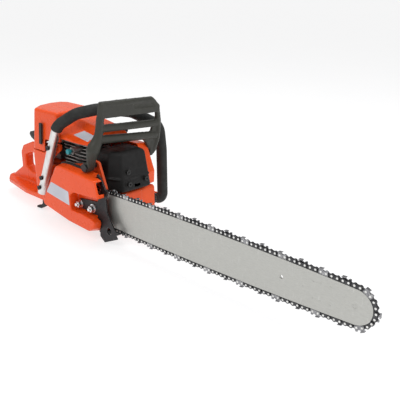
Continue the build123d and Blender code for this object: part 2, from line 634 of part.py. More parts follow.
with BuildPart() as clutch_cover:
    base = side_sketch(COVER_BASE, COVER_BACK, 9)
    face = side_sketch(COVER_FACE, COVER_Y, 9)
    loft([base.face(), face.face()])
    fillet(clutch_cover.faces().sort_by(Axis.Y)[0].edges(), 2.5)
    inner_base = side_sketch(COVER_BASE, COVER_BACK + 0.1, 9, WALL)
    inner_face = side_sketch(COVER_FACE, COVER_Y + WALL, 9, WALL)
    loft([inner_base.face(), inner_face.face()], mode=Mode.SUBTRACT)
    # The pocket round the bar nuts, its walls reaching down to the pad that clamps the bar.
    recess_walls = offset(side_sketch(RECESS, COVER_Y, 5), amount=WALL, mode=Mode.PRIVATE)
    with BuildSketch(Plane.XZ.offset(-COVER_Y)) as pocket_block:
        add(recess_walls)
        with BuildLine():
            Polyline(*COVER_FACE, close=True)
        make_face(mode=Mode.INTERSECT)
    extrude(pocket_block.sketch, amount=SPIKE_IN - WALL - COVER_Y + 5, dir=(0, 1, 0))
    extrude(side_sketch(COVER_PAD, SPIKE_IN, 4), amount=-(COVER_BACK - SPIKE_IN))
    extrude(side_sketch(RECESS, SPIKE_IN, 5), amount=40, mode=Mode.SUBTRACT)
    # The chain and the bar leave through the open front.
    with Locations((146, -69, 80)):
        Box(50, 18, 180, mode=Mode.SUBTRACT)
    with Locations((150, -76, 125)):
        Box(52, 30, 24, mode=Mode.SUBTRACT)
    with Locations(*[(STUD_X + i * STUD_SPACING, -70, CRANK_Z) for i in (0, 1)]):
        Cylinder(STUD_R + 0.2, 40, rotation=ALONG_Y, mode=Mode.SUBTRACT)
clutch_cover.part.label = "clutch_cover"

BAND_R = 32.5

with BuildPart() as chain_brake:
    with BuildSketch(Plane.XZ.offset(66)):
        with Locations((0, CRANK_Z)):
            Circle(BAND_R + 0.9)
            Circle(BAND_R, mode=Mode.SUBTRACT)
        with Locations((40, CRANK_Z + 20)):
            Rectangle(30, 16, rotation=-30, mode=Mode.SUBTRACT)
    extrude(amount=12)
    with BuildLine() as coil_path:
        Helix(pitch=3.6, height=54, radius=5.5, center=(62, -74, 128), direction=(1, 0, 0))
    with BuildSketch(Plane(origin=coil_path.line @ 0, z_dir=coil_path.line % 0)):
        Circle(0.9)
    sweep(path=coil_path.line)
chain_brake.part.label = "chain_brake"

# ---------------------------------------------------------------- bumper spikes
OUTER_SPIKE = [
    (64, 60), (122, 57), (129, 42), (127, 12), (141, 1), (183, 20), (177, 27), (186, 32), (174, 38),
    (166, 50), (158, 62), (152, 74), (151, 98), (160, 118), (152, 121), (140, 140), (130, 150), (125, 147),
    (138, 122), (134, 106), (124, 88), (64, 81),
]  # fmt: skip

with BuildPart() as outer_spike:
    extrude(side_sketch(OUTER_SPIKE, SPIKE_IN, 1.2), amount=SPIKE_IN - SPIKE_OUT)
    with across(157, 31, SPIKE_OUT, SPIKE_IN):
        Cylinder(8, 3, rotation=ALONG_Y, mode=Mode.SUBTRACT)
    with Locations(*[(STUD_X + i * STUD_SPACING, -75, CRANK_Z) for i in (0, 1)]):
        Cylinder(STUD_R + 0.2, 20, rotation=ALONG_Y, mode=Mode.SUBTRACT)
outer_spike.part.label = "outer_spike"

INNER_SPIKE = [
    (138, 16), (146, 8), (172, 22), (166, 30), (178, 36), (168, 44), (160, 52), (170, 60), (160, 68),
    (156, 80), (164, 92), (154, 98), (150, 112), (138, 112),
]  # fmt: skip

with BuildPart() as inner_spike:
    extrude(side_sketch(INNER_SPIKE, -46, 1.2), amount=3)
    extrude(side_sketch([(137.05, 24), (141, 24), (141, 90), (137.05, 90)], -47), amount=-26)
inner_spike.part.label = "inner_spike"

with BuildPart() as chain_catcher:
    extrude(side_sketch([(104, 9), (134, 9), (134, 21), (104, 16)], -CASE_HALF, 2), amount=24)
chain_catcher.part.label = "chain_catcher"

# ---------------------------------------------------------------- hand guard
GUARD_PLANE = Plane(origin=(112, 0, 202), x_dir=(0, 1, 0), z_dir=(97, 0, -20))
GUARD_T = 7.0
GUARD_OUTLINE = [
    (-64, 96), (79, 88), (103, 67), (115, 27), (118, -14), (112, -44), (101, -55), (92, -55), (92, -20),
    (84, -12), (-49, 4), (-54, -14), (-62, -26), (-62, -46), (-80, -46), (-84, -20), (-83, -4), (-68, 14),
    (-66, 60),
]  # fmt: skip
UPPER_WINDOW = [(-49, 45), (98, 32), (98, 51), (-49, 61)]
LOWER_WINDOW = [(-49, 22), (88, 5), (90, 17), (-49, 29)]
CROWN = [(-62, 94), (78, 86), (101, 66), (99, 52), (-62, 62)]
CROWN_PANEL = [(18, 82), (74, 78), (90, 66), (24, 72)]

with BuildPart() as hand_guard:
    extrude(outline_sketch(GUARD_PLANE, GUARD_OUTLINE, 2.5), amount=GUARD_T / 2, both=True)
    for window in (UPPER_WINDOW, LOWER_WINDOW):
        extrude(outline_sketch(GUARD_PLANE, window, 2.5), amount=GUARD_T, both=True, mode=Mode.SUBTRACT)
    # The crown of the guard is thicker, with a sunk panel in its left half.
    extrude(outline_sketch(GUARD_PLANE, CROWN, 4), amount=8)
    extrude(outline_sketch(GUARD_PLANE.offset(6), CROWN_PANEL, 2), amount=4, mode=Mode.SUBTRACT)
    for near, far in ((-80, -62), (91.5, 101)):
        with across(*GUARD_PIVOT, near, far):
            Cylinder(10.5, far - near, rotation=ALONG_Y)
    # The heads of the pivot bolts are sunk into its two sides.
    for near, far in ((-90, -80.2), (101.2, 122)):
        with across(*GUARD_PIVOT, near, far):
            Cylinder(9.5, far - near, rotation=ALONG_Y, mode=Mode.SUBTRACT)
    with Locations((GUARD_PIVOT[0], 0, GUARD_PIVOT[1])):
        Cylinder(5 + RUN_GAP, 300, rotation=ALONG_Y, mode=Mode.SUBTRACT)
hand_guard.part.label = "hand_guard"

with BuildPart() as guard_pivots:
    with across(*GUARD_PIVOT, -84, -47):
        Cylinder(5, 37, rotation=ALONG_Y)
    with across(*GUARD_PIVOT, -84, -80.5):
        Cylinder(8.5, 3.5, rotation=ALONG_Y)
    with across(*GUARD_PIVOT, 80, 105):
        Cylinder(5, 25, rotation=ALONG_Y)
    with across(*GUARD_PIVOT, 101.5, 105):
        Cylinder(8.5, 3.5, rotation=ALONG_Y)
guard_pivots.part.label = "guard_pivots"

# ---------------------------------------------------------------- front handle
HANDLE_PATH = [
    (-87.9, -72, 56), (-7, -72, 227), (34, -50, 256), (74, -16, 268), (82, 62, 250), (90, 137, 210),
    (90, 144, 150), (90, 145, 24), (44, 145, 24),
]  # fmt: skip
HANDLE_BENDS = [50, 60, 40, 60, 40, 60, 20]
HANDLE_SCREWS = [(-80.3, 72), (-68, 98), (-31.4, 175)]
BARE_LEG = 180.0  # length of bare tube below the rubber
SOCKET = 30.0  # length of tube at its left end that the rubber leaves free

handle_line = tube_path(HANDLE_PATH, HANDLE_BENDS)

with BuildPart() as front_handle:
    with BuildSketch(Plane(origin=handle_line @ 0, z_dir=handle_line % 0)):
        Circle(TUBE_R)
        Circle(TUBE_R - 2, mode=Mode.SUBTRACT)
    sweep(path=handle_line)
    for x, z in HANDLE_SCREWS:
        with across(x, z, -90, -50):
            Cylinder(2.5, 40, rotation=ALONG_Y, mode=Mode.SUBTRACT)
front_handle.part.label = "front_handle"

handle_wire = Wire(handle_line.edges())
grip_line = handle_wire.trim(BARE_LEG / handle_wire.length, 1 - SOCKET / handle_wire.length)

with BuildPart() as handle_grip:
    with BuildSketch(Plane(origin=grip_line @ 0, z_dir=grip_line % 0)):
        Circle(GRIP_R)
        Circle(TUBE_R, mode=Mode.SUBTRACT)
    sweep(path=grip_line)
handle_grip.part.label = "handle_grip"


# ---------------------------------------------------------------- tank and rear handle
TANK_PLAN = [(-68, -60), (-128, -60), (-146, -44), (-152, -8), (-152, 34), (-140, 60), (-68, 60)]
TANK_TOP, TANK_FLOOR = 150.0, 28.0
GUARD_PLAN = [(-104, -60), (-184, -60), (-286, -42), (-312, -24), (-314, -6), (-290, 6), (-180, 30), (-104, 44)]
HANDLE_LOOP = [
    (-150, 149), (-193, 149), (-238, 131), (-250, 113), (-250, 74), (-296, 44), (-310, 41), (-310, 34),
    (-240, 32), (-150, 32),
]  # fmt: skip
SCREW_BRACKET = [(-82, 138), (-60, 138), (-22, 166), (-22, 179), (-40, 179), (-82, 152)]
LOOP_T = 24.0  # width of the rear handle
HAND_HOLE = [(-150, 122), (-201, 119), (-229, 108), (-231, 78), (-205, 68), (-150, 64)]
LEFT_ARM = [(-80, 40), (-80, 59), (-50, 112), (34, 158), (64, 158), (64, 134), (40, 134), (-30, 92), (-62, 40)]

with BuildPart() as tank_handle:
    # The rear handle is one loop with the tank; its foot widens into a plate that guards the right hand.
    extrude(side_sketch(HANDLE_LOOP, HANDLE_Y + LOOP_T / 2, 3), amount=LOOP_T)
    extrude(side_sketch(HAND_HOLE, HANDLE_Y + LOOP_T / 2, 6), amount=LOOP_T, mode=Mode.SUBTRACT)
    fillet(tank_handle.faces().filter_by(Plane.XZ).edges(), 3)
    extrude(top_sketch(TANK_PLAN, TANK_FLOOR, 10), amount=TANK_TOP - TANK_FLOOR)
    extrude(top_sketch(GUARD_PLAN, 27, 8), amount=12)
    extrude(top_sketch(LEFT_ARM, 16, 3), amount=14)
    with Locations((52, 145, 24)):
        Cylinder(14, 30, rotation=ALONG_X)
    # Fuel cell, and the open bay for the carburettor above it.
    with Locations((-108, 0, 73)):
        Box(72, 108, 66, mode=Mode.SUBTRACT)
    with Locations((-103, 0, 136)):
        Box(74, 108, 32, mode=Mode.SUBTRACT)
    with Locations((-150, HANDLE_Y, 91)):
        Box(16, 26, 50, mode=Mode.SUBTRACT)
    with Locations((-146, 30, 140)):
        Cylinder(2.1, 30, rotation=ALONG_X, mode=Mode.SUBTRACT)
    with across(-108, 84, 50, 62):
        Cylinder(12.05, 12, rotation=ALONG_Y, mode=Mode.SUBTRACT)
    # The bracket behind the upper screw of the front handle.
    extrude(side_sketch(SCREW_BRACKET, -52, 2), amount=8)
    # Slots for the trigger and its lock in the grip.
    with Locations((-178, HANDLE_Y, 132)):
        Box(44, 12.4, 26, mode=Mode.SUBTRACT)
    with Locations((-180, HANDLE_Y, 147)):
        Box(52, 14.4, 12, mode=Mode.SUBTRACT)
    # The pins the trigger and its lock turn on.
    for pivot, pin_r in ((TRIGGER_PIVOT, 3), (LOCK_PIVOT, 2)):
        with across(*pivot, HANDLE_Y - 11, HANDLE_Y + 11):
            Cylinder(pin_r, 22, rotation=ALONG_Y)
    for x, z in HANDLE_SCREWS[:2]:
        with across(x, z, -61.9, -52):
            Cylinder(7, 9.9, rotation=ALONG_Y)
    for x, z in HANDLE_SCREWS:
        with across(x, z, -63, -54):
            Cylinder(2.5, 9, rotation=ALONG_Y, mode=Mode.SUBTRACT)
    # The front handle's tube is clamped in the socket at the end of the left arm.
    with BuildSketch(Plane(origin=handle_line @ 1, z_dir=(handle_line % 1) * -1)):
        Circle(TUBE_R + RUN_GAP)
    extrude(amount=24, mode=Mode.SUBTRACT)
tank_handle.part.label = "tank_handle"

with BuildPart() as throttle_trigger:
    blade = [(-180, 131), (-164, 131), (-163, 116), (-172, 106), (-190, 97), (-196, 100), (-190, 108), (-182, 116)]
    extrude(side_sketch(blade, HANDLE_Y - 5.5, 2), amount=-11)
    with across(*TRIGGER_PIVOT, HANDLE_Y - 6, HANDLE_Y + 6):
        Cylinder(3 + RUN_GAP, 12, rotation=ALONG_Y, mode=Mode.SUBTRACT)
throttle_trigger.part.label = "throttle_trigger"

with BuildPart() as throttle_lock:
    lever = [(-158, 143), (-160, 155), (-172, 167), (-206, 171), (-210, 164), (-203, 156), (-186, 149), (-166, 144)]
    extrude(side_sketch(lever, HANDLE_Y - 6.5, 1.5), amount=-13)
    with across(*LOCK_PIVOT, HANDLE_Y - 7, HANDLE_Y + 7):
        Cylinder(2 + RUN_GAP, 14, rotation=ALONG_Y, mode=Mode.SUBTRACT)
throttle_lock.part.label = "throttle_lock"

with BuildPart() as choke_knob:
    with Locations((-143, 30, 140)):
        Cylinder(2, 50, rotation=ALONG_X)
    with Locations((-166, 30, 140)):
        Box(8, 20, 10)
    fillet(choke_knob.edges().group_by(Axis.X)[0], 1.5)
choke_knob.part.label = "choke_knob"

with BuildPart() as fuel_cap:
    with across(-108, 84, 60, 74):
        Cylinder(17, 14, rotation=ALONG_Y)
    with across(-108, 84, 50, 60):
        Cylinder(12, 10, rotation=ALONG_Y)
    with BuildSketch(Plane.XZ.offset(-74)):
        with Locations((-108, 84)):
            with PolarLocations(18.2, 12):
                Circle(2.4)
    extrude(amount=12, mode=Mode.SUBTRACT)
    with Locations((-108, 76, 84)):
        Box(22, 4, 4)
fuel_cap.part.label = "fuel_cap"

with BuildPart() as oil_cap:
    with across(115, 52, 76, 88):
        Cylinder(15, 12, rotation=ALONG_Y)
    with across(115, 52, 66, 76):
        Cylinder(12 - RUN_GAP, 10, rotation=ALONG_Y)
    with BuildSketch(Plane.XZ.offset(-88)):
        with Locations((115, 52)):
            with PolarLocations(16.2, 12):
                Circle(2.2)
    extrude(amount=10, mode=Mode.SUBTRACT)
    with Locations((115, 89, 52)):
        Box(20, 4, 4)
oil_cap.part.label = "oil_cap"

fuel_path = tube_path([(-128, 21, 48), (-128, 40, 48), (-104, 44, 56), (-98, 30, 104)], 8)

with BuildPart() as fuel_pickup:
    with Locations((-128, 10, 48)):
        Cylinder(7, 22, rotation=ALONG_Y)
    fillet(fuel_pickup.edges().filter_by(GeomType.CIRCLE), 1.5)
    with BuildSketch(Plane(origin=fuel_path @ 0, z_dir=fuel_path % 0)):
        Circle(3)
    sweep(path=fuel_path)
fuel_pickup.part.label = "fuel_pickup"

with BuildPart() as av_springs:
    for y, z in ((-24, 100), (24, 100), (0, 44)):
        with BuildLine() as coil_line:
            Helix(pitch=3, height=7.4, radius=8, center=(-66.7, y, z), direction=(1, 0, 0))
        with BuildSketch(Plane(origin=coil_line.line @ 0, z_dir=coil_line.line % 0)):
            Circle(1.1)
        sweep(path=coil_line.line)
av_springs.part.label = "av_springs"

# ---------------------------------------------------------------- intake
CARB_Z = 142.0

with BuildPart() as carburettor:
    with Locations((-98, 0, CARB_Z)):
        Box(30, 36, 34)
        Cylinder(12, 40, rotation=ALONG_X)
    with Locations((-98, 0, CARB_Z + 19)):
        Box(22, 26, 6)
    with Locations((-98, 0, CARB_Z)):
        Cylinder(9, 60, rotation=ALONG_X, mode=Mode.SUBTRACT)
    with Locations((-98, 19, CARB_Z - 6)):
        Box(14, 5, 8)
carburettor.part.label = "carburettor"

with BuildPart() as intake_boot:
    with BuildSketch(Plane.XZ) as boot_profile:
        with BuildLine():
            Polyline(
                (-78, 9.5), (-78, 18), (-75, 18), (-72.5, 22), (-70, 18), (-67.5, 22), (-65, 18), (-62.5, 22),
                (-60, 18), (-57.5, 22), (-55, 18), (-54, 18), (-54, 9.5), close=True,
            )  # fmt: skip
        make_face()
    revolve(axis=Axis.X)
intake_boot.part.label = "intake_boot"
intake_boot.part.locate(Location((0, 0, CARB_Z + 3)))

with BuildPart() as air_filter:
    with Locations((-94, -2, 200)):
        Box(60, 58, 40)
    with BuildSketch(Plane.XY.offset(180)):
        with Locations((-94, -2)):
            with GridLocations(6, 58, 10, 2):
                Rectangle(2.4, 8)
    extrude(amount=44, mode=Mode.SUBTRACT)
    fillet(air_filter.edges().group_by(Axis.Z)[-1], 0.8)
    with Locations((-98, 0, 172)):
        Cylinder(10, 16)
    with Locations((-98, 0, 182)):
        Cylinder(7, 36, mode=Mode.SUBTRACT)
air_filter.part.label = "air_filter"

# ---------------------------------------------------------------- top covers
COVER_TOP_Z = 246.0
FILTER_PLAN = [(-30, 57), (-132, 57), (-154, 40), (-160, 8), (-152, -28), (-128, -59), (-30, -59)]

with BuildPart() as filter_cover:
    filter_plan = top_sketch(FILTER_PLAN, TANK_TOP + 0.5, 12)
    extrude(filter_plan, amount=COVER_TOP_Z - TANK_TOP - 0.5, taper=5)
    fillet(filter_cover.faces().sort_by(Axis.Z)[-1].edges(), 6)
    filter_void = top_sketch(FILTER_PLAN, TANK_TOP + 0.5, 12, WALL)
    extrude(filter_void, amount=COVER_TOP_Z - TANK_TOP - 0.5 - 1.4 * WALL, taper=5, mode=Mode.SUBTRACT)
    # The groove across the lid, the notch round the intake boot and the notch for the handle's upper screw.
    with Locations((-80, -4, COVER_TOP_Z)):
        Box(66, 2.4, 3, mode=Mode.SUBTRACT)
    with Locations((-50, -20, 165)):
        Box(66, 100, 30, mode=Mode.SUBTRACT)
    with Locations((-40, 0, 178)):
        Box(30, 88, 58, mode=Mode.SUBTRACT)
    with Locations((-40, 52, 168)):
        Box(42, 36, 42, mode=Mode.SUBTRACT)
filter_cover.part.label = "filter_cover"

COVER_SECTION = [
    (-61, 170), (-61, 206), (-52, 214), (-30, 226), (-25, 243), (26, 243), (42, 228), (61, 212), (61, 170),
]  # fmt: skip
COVER_BACK_X, COVER_LENGTH = -28.0, 112.0
COVER_FALL = (1.0, 0.0, -0.15)
COVER_EDGE_Z = 194.0
LABEL_T = 0.3
SHELF_LABEL = [(-52.1, 214.3), (-30.1, 226.3), (-29.7, 225.3), (-51.7, 213.3)]

with BuildPart() as cylinder_cover:
    section = outline_sketch(Plane.YZ.offset(COVER_BACK_X), COVER_SECTION, 3)
    extrude(section, amount=COVER_LENGTH, dir=COVER_FALL)
    fillet(cylinder_cover.faces().sort_by(Axis.X)[-1].edges(), 2)
    inner_section = offset(section, amount=-WALL, mode=Mode.PRIVATE)
    extrude(inner_section, amount=COVER_LENGTH - WALL, dir=COVER_FALL, mode=Mode.SUBTRACT)
    with Locations((COVER_BACK_X + 60, 0, COVER_EDGE_Z - 50)):
        Box(160, 160, 100, mode=Mode.SUBTRACT)
cylinder_cover.part.label = "cylinder_cover"

with BuildPart() as labels:
    with BuildSketch(Plane.XY.offset(200)) as label_area:
        with BuildLine():
            Polyline((20, -50), (68, -50), (72, -32), (34, -32), close=True)
        make_face()
    shelf = outline_sketch(Plane.YZ.offset(COVER_BACK_X), SHELF_LABEL, 0)
    extrude(shelf, amount=COVER_LENGTH, dir=COVER_FALL)
    extrude(label_area.sketch, amount=40, mode=Mode.INTERSECT)
    extrude(section, amount=COVER_LENGTH, dir=COVER_FALL, mode=Mode.SUBTRACT)
    extrude(side_sketch([(-33, 77), (51, 66), (50, 97), (-12, 105)], COVER_Y, 2), amount=LABEL_T)
labels.part.label = "labels"

# ---------------------------------------------------------------- cover fastenings
with BuildPart() as cover_clips:
    for side, y in ((-1, -58.4), (1, 56.4)):
        with Locations((-92, y + side * 1.4, 193)):
            Box(9, 3, 48, rotation=(side * 5, 0, 0))

cover_clips.part.label = "cover_clips"

# ---------------------------------------------------------------- starter side
STARTER_PLAN = [(-56, 42), (-38, 31), (104, 31), (126, 56), (131, 120), (104, 186), (-38, 186), (-56, 160)]
PULLEY_R = 28.0
STARTER_SCREWS = [(-44, 52, 37), (-44, 166, 37), (90, 170, 59), (84, 44, 37)]  # x, z and where the post begins

with BuildPart() as starter_cover:
    plan = side_sketch(STARTER_PLAN, CASE_HALF + 1, 12)
    extrude(plan, amount=-(STARTER_Y - CASE_HALF - 1), taper=7)
    fillet(starter_cover.faces().sort_by(Axis.Y)[-1].edges(), 5)
    void = side_sketch(STARTER_PLAN, CASE_HALF + 1, 12, WALL)
    extrude(void, amount=-(STARTER_Y - CASE_HALF - 1 - 1.3 * WALL), taper=7, mode=Mode.SUBTRACT)
    # The oil filler stands proud of the cover's front corner.
    with Locations((115.5, 60, 51)):
        Box(41, 80, 82, mode=Mode.SUBTRACT)
    # The muffler reaches behind the cover's front, and the ignition lead passes through its roof.
    with Locations((102, 44, 145)):
        Box(84, 28, 96, mode=Mode.SUBTRACT)
    with Locations((14, 48, 184)):
        Box(14, 26, 16, mode=Mode.SUBTRACT)
    for x, z, foot in STARTER_SCREWS:
        with across(x, z, foot, STARTER_Y - 2.6):
            Cylinder(5.5, STARTER_Y - 2.6 - foot, rotation=ALONG_Y)
    for x, z, _ in STARTER_SCREWS:
        with across(x, z, CASE_HALF, 96):
            Cylinder(2.4, 60, rotation=ALONG_Y, mode=Mode.SUBTRACT)
        with across(x, z, 86.2, 96):
            Cylinder(4.5, 9.8, rotation=ALONG_Y, mode=Mode.SUBTRACT)
    with across(*GUARD_PIVOT, 80, 96):
        Cylinder(5, 16, rotation=ALONG_Y, mode=Mode.SUBTRACT)
    # Air slots in front of the fan.
    with BuildSketch(Plane.XZ.offset(-STARTER_Y - 1)):
        with Locations((0, CRANK_Z + 34)):
            with PolarLocations(32, 18):
                SlotOverall(22, 4)
    extrude(amount=8, mode=Mode.SUBTRACT)
    # The rope leaves upward through an eyelet in the roof.
    with Locations((30, 70, 186)):
        Cylinder(4, 20, mode=Mode.SUBTRACT)
    # A post for the pulley.
    with across(0, CRANK_Z, STARTER_Y - 16, STARTER_Y - 2.6):
        Cylinder(8, 13.4, rotation=ALONG_Y)
starter_cover.part.label = "starter_cover"

with BuildPart() as flywheel:
    with across(0, CRANK_Z, 42, 48):
        Cylinder(32, 6, rotation=ALONG_Y)
    with across(0, CRANK_Z, 42, 62):
        Cylinder(11, 20, rotation=ALONG_Y)
    with BuildSketch(Plane.XZ.offset(-48)):
        with Locations((0, CRANK_Z)):
            with PolarLocations(21.5, 14):
                Rectangle(19, 2.4, rotation=14)
    extrude(amount=-12)
    with Locations((0, 55, CRANK_Z)):
        Cylinder(7, 40, rotation=ALONG_Y, mode=Mode.SUBTRACT)
    # The nut that holds it on the shaft.
    with BuildSketch(Plane.XZ.offset(-62)):
        with Locations((0, CRANK_Z)):
            RegularPolygon(10, 6)
            Circle(7, mode=Mode.SUBTRACT)
    extrude(amount=-7)
flywheel.part.label = "flywheel"

with BuildPart() as starter_pulley:
    with across(0, CRANK_Z, 75, 84):
        Cylinder(PULLEY_R, 9, rotation=ALONG_Y)
    with across(0, CRANK_Z, 77.5, 81.5):
        Cylinder(PULLEY_R + 1, 4, rotation=ALONG_Y, mode=Mode.SUBTRACT)
        Cylinder(PULLEY_R - 7, 4, rotation=ALONG_Y)
    with Locations((0, 80, CRANK_Z)):
        Cylinder(8 + RUN_GAP, 40, rotation=ALONG_Y, mode=Mode.SUBTRACT)
starter_pulley.part.label = "starter_pulley"

with BuildPart() as starter_handle:
    with Locations((30, 70, 203)):
        Box(46, 15, 13)
    fillet(starter_handle.edges(), 4)
    with Locations((30, 70, 193)):
        Cylinder(6.5, 12)
    with Locations((30, 70, 188)):
        Cylinder(2.5, 26, mode=Mode.SUBTRACT)
starter_handle.part.label = "starter_handle"

with BuildPart() as starter_rope:
    with Locations((30, 70, 188)):
        Cylinder(1.8, 24)
starter_rope.part.label = "starter_rope"

with BuildPart() as recoil_spring:
    with across(0, CRANK_Z, 84.3, 86.5):
        Cylinder(24, 2.2, rotation=ALONG_Y)
        Cylinder(9, 2.2, rotation=ALONG_Y, mode=Mode.SUBTRACT)
recoil_spring.part.label = "recoil_spring"

with BuildPart() as socket_screws:
    for x, z in HANDLE_SCREWS:
        with across(x, z, -84, -54):
            Cylinder(2.5, 30, rotation=ALONG_Y)
        with across(x, z, -86.1, -82.1):
            Cylinder(5, 4, rotation=ALONG_Y)
        with across(x, z, -86.5, -84.5):
            Cylinder(2.2, 2, rotation=ALONG_Y, mode=Mode.SUBTRACT)
    for x, z, foot in STARTER_SCREWS:
        with across(x, z, foot + 0.5, 88.4):
            Cylinder(2.4, 87.9 - foot, rotation=ALONG_Y)
        with across(x, z, 86.2, 90.4):
            Cylinder(4.5, 4.2, rotation=ALONG_Y)
            Cylinder(2.2, 2, rotation=ALONG_Y, mode=Mode.SUBTRACT)
    for bolt in MUFFLER_BOLTS:
        with Locations(bolt):
            Cylinder(5, 5, rotation=ALONG_X)
            with Locations((2, 0, 0)):
                Cylinder(2.4, 3, rotation=ALONG_X, mode=Mode.SUBTRACT)
socket_screws.part.label = "socket_screws"

with BuildPart() as cover_seal:
    extrude(side_sketch([(-14, 139), (62, 153), (82, 167), (60, 158), (-14, 145)], -52.6, 0), amount=7)
cover_seal.part.label = "cover_seal"

with BuildPart() as stop_switch:
    with Locations((-155.4, 20, 126)):
        Box(6, 9, 13)
    fillet(stop_switch.edges().group_by(Axis.X)[0], 1.5)
stop_switch.part.label = "stop_switch"

with BuildPart() as rear_foot:
    hook = [(-100, 27), (-112, 27), (-113, 17), (-124, 10), (-138, 6), (-139, 1), (-120, 3), (-104, 12)]
    extrude(side_sketch(hook, -50, 1.2), amount=8)
rear_foot.part.label = "rear_foot"

parts = [
    crankcase_right, crankcase_left, crankshaft, main_bearings, piston, connecting_rod, cylinder,
    spark_plug, plug_cap, ignition_coil, decompression_button, muffler, socket_screws, guide_bar,
    bar_rivets, nose_sprocket, clutch_drum, clutch_bearing, clutch, oil_pump, bar_studs, bar_nuts,
    chain_tensioner, clutch_cover, labels, chain_brake, outer_spike, inner_spike,
    chain_catcher, hand_guard, guard_pivots, front_handle, handle_grip, tank_handle, throttle_trigger,
    throttle_lock, choke_knob, stop_switch, fuel_cap, oil_cap, fuel_pickup, av_springs, carburettor,
    intake_boot, air_filter, filter_cover, cylinder_cover, cover_clips, cover_seal, rear_foot, flywheel,
    starter_cover, starter_pulley, recoil_spring, starter_handle, starter_rope,
]  # fmt: skip
for piece in parts:
    export_step(piece.part, f"parts/{piece.part.label}.step")
for links in (chain_drive_links, chain_tie_straps, chain_cutters, chain_rivets):
    export_step(links, f"parts/{links.label}.step")
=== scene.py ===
"""Looks of the petrol chainsaw: materials, moulded and soft pieces, floor, light and camera."""

import json
import math

import bmesh
import bpy
from mathutils import Matrix, Vector
from mathutils.bvhtree import BVHTree


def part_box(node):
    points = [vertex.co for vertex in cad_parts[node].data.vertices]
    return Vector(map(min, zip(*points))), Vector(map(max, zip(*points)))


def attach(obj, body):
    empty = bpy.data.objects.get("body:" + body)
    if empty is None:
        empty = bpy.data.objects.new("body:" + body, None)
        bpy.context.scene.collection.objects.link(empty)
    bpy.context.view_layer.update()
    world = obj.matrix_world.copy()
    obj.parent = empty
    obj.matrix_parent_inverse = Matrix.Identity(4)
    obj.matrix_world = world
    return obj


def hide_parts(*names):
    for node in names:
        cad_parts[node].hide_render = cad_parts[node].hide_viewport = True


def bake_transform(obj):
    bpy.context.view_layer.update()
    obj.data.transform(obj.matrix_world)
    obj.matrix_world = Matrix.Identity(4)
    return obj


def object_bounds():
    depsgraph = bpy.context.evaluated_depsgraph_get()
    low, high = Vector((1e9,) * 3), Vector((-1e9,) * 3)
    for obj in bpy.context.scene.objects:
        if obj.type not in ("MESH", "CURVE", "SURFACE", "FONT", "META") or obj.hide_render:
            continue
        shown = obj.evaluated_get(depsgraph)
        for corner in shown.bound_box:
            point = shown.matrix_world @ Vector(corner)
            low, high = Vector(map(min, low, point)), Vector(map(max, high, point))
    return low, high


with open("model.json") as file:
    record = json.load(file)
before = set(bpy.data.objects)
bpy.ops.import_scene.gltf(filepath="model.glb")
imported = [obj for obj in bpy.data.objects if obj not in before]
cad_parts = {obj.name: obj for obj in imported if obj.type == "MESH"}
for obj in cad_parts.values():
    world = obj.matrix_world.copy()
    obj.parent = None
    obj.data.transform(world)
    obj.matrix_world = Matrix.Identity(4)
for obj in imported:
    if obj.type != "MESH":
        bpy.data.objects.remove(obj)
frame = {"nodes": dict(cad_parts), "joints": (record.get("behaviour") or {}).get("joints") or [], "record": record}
cad_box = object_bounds()
nodes = frame["nodes"]
record = frame["record"]


# ---------------------------------------------------------------------------
# Node materials
# ---------------------------------------------------------------------------


